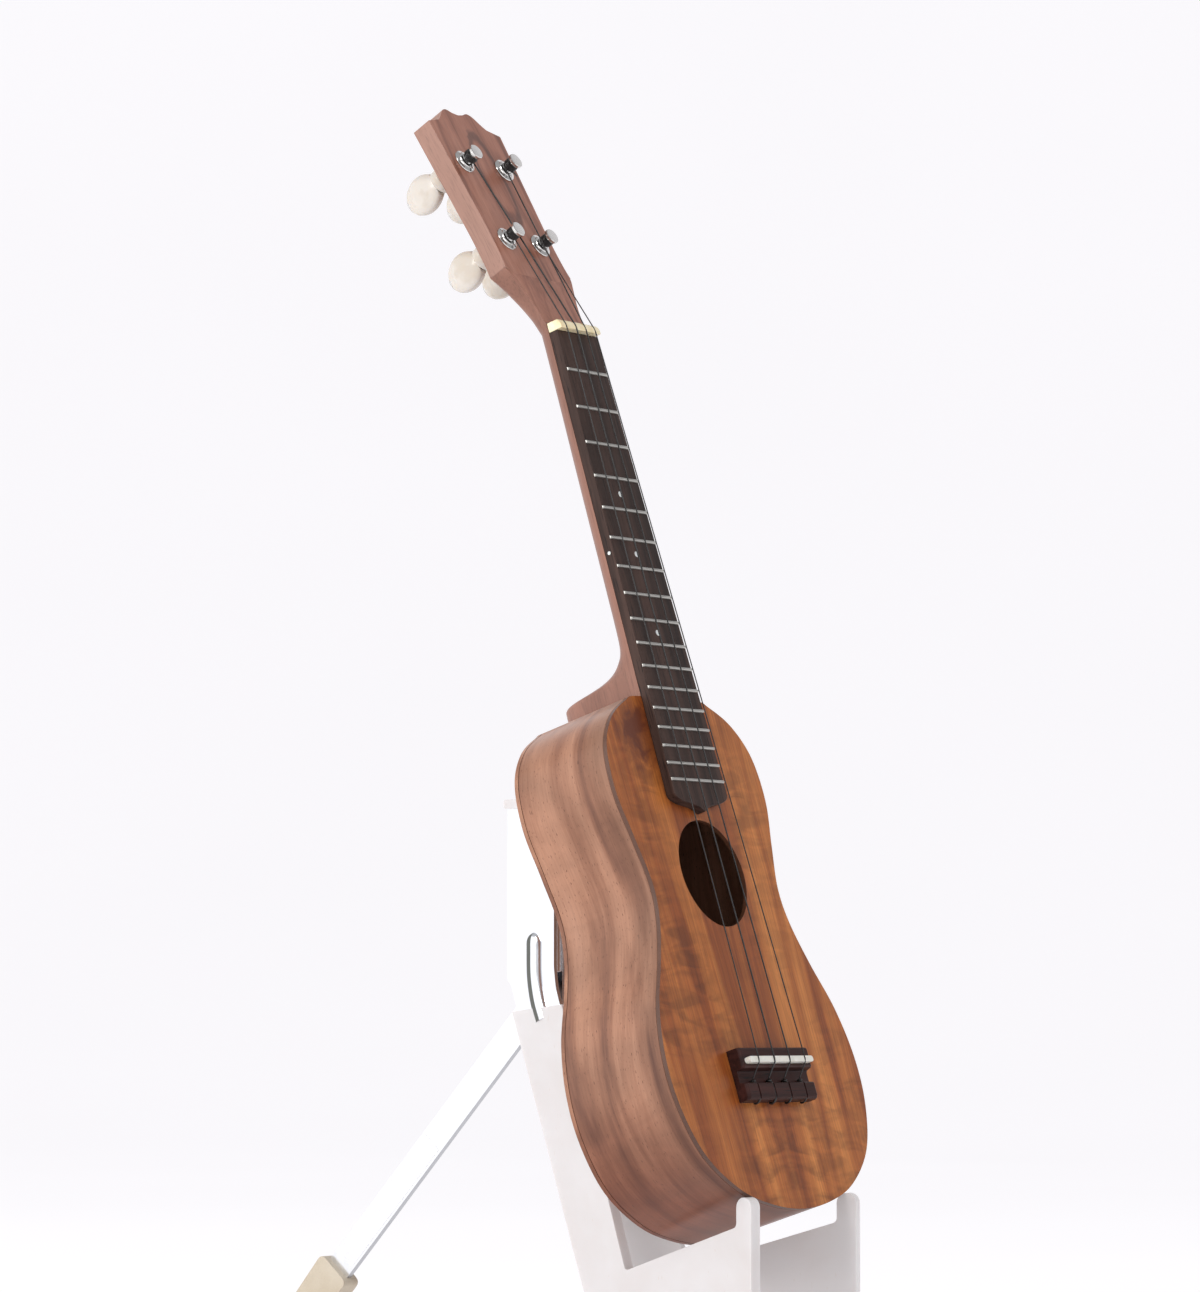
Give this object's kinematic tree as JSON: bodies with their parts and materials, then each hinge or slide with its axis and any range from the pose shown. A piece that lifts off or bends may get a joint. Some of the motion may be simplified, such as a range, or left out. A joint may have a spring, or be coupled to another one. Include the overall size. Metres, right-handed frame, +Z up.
{
  "type": "ukulele on stand",
  "caption": "Small fretted string instrument leaning on a folding metal stand with rubber-dipped wings and a rear leg.",
  "frame": {"origin": "centre of the object's box, on the floor", "axes": "+Z up, -Y the front, where the soundboard faces; +X across"},
  "size_m": [0.1688, 0.3272, 0.6242],
  "materials": {
    "koa": "satin lacquer",
    "mahogany": "satin lacquer",
    "rosewood": "oiled",
    "spruce": "bare",
    "bone": "polished",
    "nickel": "polished",
    "ivory_plastic": "pearly",
    "string_nylon": "smooth",
    "stand_metal": "bright",
    "stand_rubber": "translucent dip",
    "boot_rubber": "matt"
  },
  "bodies": {
    "stand_spine": {"spine_plate": "stand_metal", "hinge_pin": "stand_metal", "leg_rivet": "stand_metal"},
    "wing_left": {"wing_left": "stand_metal", "sleeve_left": "stand_rubber", "cap_left": "stand_rubber"},
    "wing_right": {"wing_right": "stand_metal", "sleeve_right": "stand_rubber", "cap_right": "stand_rubber"},
    "rear_leg": {"rear_leg": "stand_metal", "rear_boot": "boot_rubber"},
    "tuner_1": {"tuner_1_post": "nickel", "tuner_1_button": "ivory_plastic"},
    "tuner_2": {"tuner_2_post": "nickel", "tuner_2_button": "ivory_plastic"},
    "tuner_3": {"tuner_3_post": "nickel", "tuner_3_button": "ivory_plastic"},
    "tuner_4": {"tuner_4_post": "nickel", "tuner_4_button": "ivory_plastic"},
    "instrument": {"back": "koa", "back_brace": "spruce", "bridge": "rosewood", "bridge_plate": "spruce", "fret_01": "nickel", "fret_02": "nickel", "fret_03": "nickel", "fret_04": "nickel", "fret_05": "nickel", "fret_06": "nickel", "fret_07": "nickel", "fret_08": "nickel", "fret_09": "nickel", "fret_10": "nickel", "fret_11": "nickel", "fret_12": "nickel", "fret_13": "nickel", "fret_14": "nickel", "fret_15": "nickel", "fret_16": "nickel", "fret_17": "nickel", "fretboard": "rosewood", "headstock": "mahogany", "lining_left": "spruce", "lining_right": "spruce", "neck": "mahogany", "neck_block": "mahogany", "nut": "bone", "saddle": "bone", "sides": "koa", "soundboard": "koa", "soundboard_brace": "spruce", "string_1": "string_nylon", "string_2": "string_nylon", "string_3": "string_nylon", "string_4": "string_nylon", "tail_block": "mahogany", "tuner_1_bushing": "nickel", "tuner_2_bushing": "nickel", "tuner_3_bushing": "nickel", "tuner_4_bushing": "nickel"}
  },
  "joints": [
    {"name": "instrument_lift", "type": "slide", "parent": "stand_spine", "child": "instrument", "axis": [0, 0, 1], "range_m": [0, 0.25]},
    {"name": "wing_left_fold", "type": "hinge", "parent": "stand_spine", "child": "wing_left", "pos_m": [0, 0.01112, 0.221], "axis": [0, 0, 1], "range_deg": [0, 8]},
    {"name": "wing_right_fold", "type": "hinge", "parent": "stand_spine", "child": "wing_right", "pos_m": [0, 0.01112, 0.221], "axis": [0, 0, -1], "range_deg": [0, 8]},
    {"name": "rear_leg_fold", "type": "hinge", "parent": "stand_spine", "child": "rear_leg", "pos_m": [0, -0.00688, 0.173], "axis": [-1, 0, 0], "range_deg": [0, 59]},
    {"name": "tuner_1_turn", "type": "hinge", "parent": "instrument", "child": "tuner_1", "pos_m": [-0.0146, 0.00621, 0.55301], "axis": [0, -0.8599, 0.5105], "continuous": true},
    {"name": "tuner_2_turn", "type": "hinge", "parent": "instrument", "child": "tuner_2", "pos_m": [-0.0172, 0.03072, 0.59428], "axis": [0, -0.8599, 0.5105], "continuous": true},
    {"name": "tuner_3_turn", "type": "hinge", "parent": "instrument", "child": "tuner_3", "pos_m": [0.0172, 0.03072, 0.59428], "axis": [0, -0.8599, 0.5105], "continuous": true},
    {"name": "tuner_4_turn", "type": "hinge", "parent": "instrument", "child": "tuner_4", "pos_m": [0.0146, 0.00621, 0.55301], "axis": [0, -0.8599, 0.5105], "continuous": true}
  ],
  "couplings": [
    {"joint": "wing_left_fold", "follows": "instrument_lift", "rad_per_m": 0.5584},
    {"joint": "wing_right_fold", "follows": "instrument_lift", "rad_per_m": 0.5584}
  ]
}
